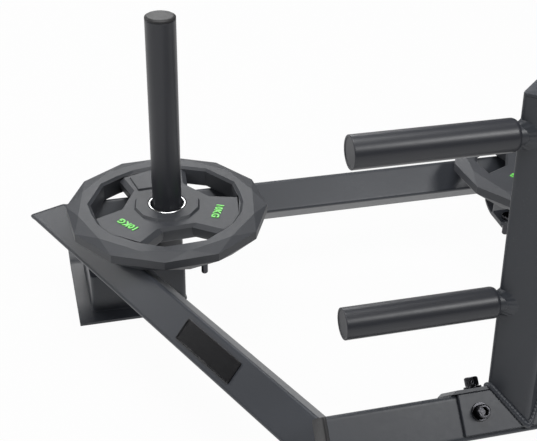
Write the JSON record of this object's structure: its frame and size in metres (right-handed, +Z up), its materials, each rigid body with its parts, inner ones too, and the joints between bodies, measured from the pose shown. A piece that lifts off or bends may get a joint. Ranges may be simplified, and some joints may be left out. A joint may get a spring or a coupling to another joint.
{
  "type": "push sled",
  "caption": "Push sled with a splayed frame of square tubes set on edge, a weight peg with a plate on each side and an upright with push handles.",
  "frame": {"origin": "centre of the bounding box's bottom face, on the floor midway between the weight pegs", "axes": "+Y the way the sled is pushed, +X to the right of the person pushing it, +Z up"},
  "size_m": [1.1814, 0.9108, 0.6513],
  "materials": {
    "black_powder_coat": "satin black powder coat on steel tube and sheet",
    "black_steel": "black oxide on turned and forged steel",
    "plate_rubber": "moulded matte dark grey rubber",
    "bright_steel": "turned bright steel",
    "black_plastic": "moulded matte black plastic",
    "name_plate": "printed near black sheet, left bare"
  },
  "bodies": {
    "sled": {"front_beam": "black_powder_coat", "side_rail_left": "black_powder_coat", "side_rail_right": "black_powder_coat", "rail_plug_left": "black_plastic", "rail_plug_right": "black_plastic", "name_plate_left": "name_plate", "name_plate_right": "name_plate", "crossbar": "black_powder_coat", "crossbar_plug_left": "black_plastic", "crossbar_plug_right": "black_plastic", "mast_foot_plate_near": "black_powder_coat", "mast_foot_plate_far": "black_powder_coat", "foot_screw_near_left": "black_steel", "foot_washer_near_left": "black_steel", "foot_screw_near_right": "black_steel", "foot_washer_near_right": "black_steel", "foot_screw_far_left": "black_steel", "foot_washer_far_left": "black_steel", "foot_screw_far_right": "black_steel", "foot_washer_far_right": "black_steel", "mast": "black_powder_coat", "mast_cap": "black_powder_coat", "handle_bar_low_left": "black_powder_coat", "handle_bar_low_right": "black_powder_coat", "handle_grip_low_left": "black_powder_coat", "handle_grip_low_right": "black_powder_coat", "handle_plug_low_left": "black_powder_coat", "handle_plug_low_right": "black_powder_coat", "handle_bar_high_left": "black_powder_coat", "handle_bar_high_right": "black_powder_coat", "handle_grip_high_left": "black_powder_coat", "handle_grip_high_right": "black_powder_coat", "handle_plug_high_left": "black_powder_coat", "handle_plug_high_right": "black_powder_coat", "front_foot_left": "black_powder_coat", "front_foot_right": "black_powder_coat", "front_skid_left": "black_powder_coat", "front_skid_right": "black_powder_coat", "rear_foot_left": "black_powder_coat", "rear_foot_right": "black_powder_coat", "rear_skid_left": "black_powder_coat", "rear_skid_right": "black_powder_coat", "weight_peg_left": "black_powder_coat", "weight_peg_right": "black_powder_coat", "peg_cap_left": "black_plastic", "peg_cap_right": "black_plastic", "strap_lug_left": "black_powder_coat", "strap_lug_right": "black_powder_coat"},
    "plate_left": {"weight_plate_left": "plate_rubber", "plate_bush_left": "bright_steel"},
    "plate_right": {"weight_plate_right": "plate_rubber", "plate_bush_right": "bright_steel"},
    "pin_left": {"strap_pin_left": "black_steel"},
    "pin_right": {"strap_pin_right": "black_steel"}
  },
  "joints": [
    {"name": "plate_left_lift", "type": "slide", "parent": "sled", "child": "plate_left", "axis": [0, 0, 1], "range_m": [0, 0.4]},
    {"name": "plate_right_lift", "type": "slide", "parent": "sled", "child": "plate_right", "axis": [0, 0, 1], "range_m": [0, 0.4]},
    {"name": "pin_left_lift", "type": "slide", "parent": "sled", "child": "pin_left", "axis": [0, 0, 1], "range_m": [0, 0.045]},
    {"name": "pin_right_lift", "type": "slide", "parent": "sled", "child": "pin_right", "axis": [0, 0, 1], "range_m": [0, 0.045]}
  ]
}
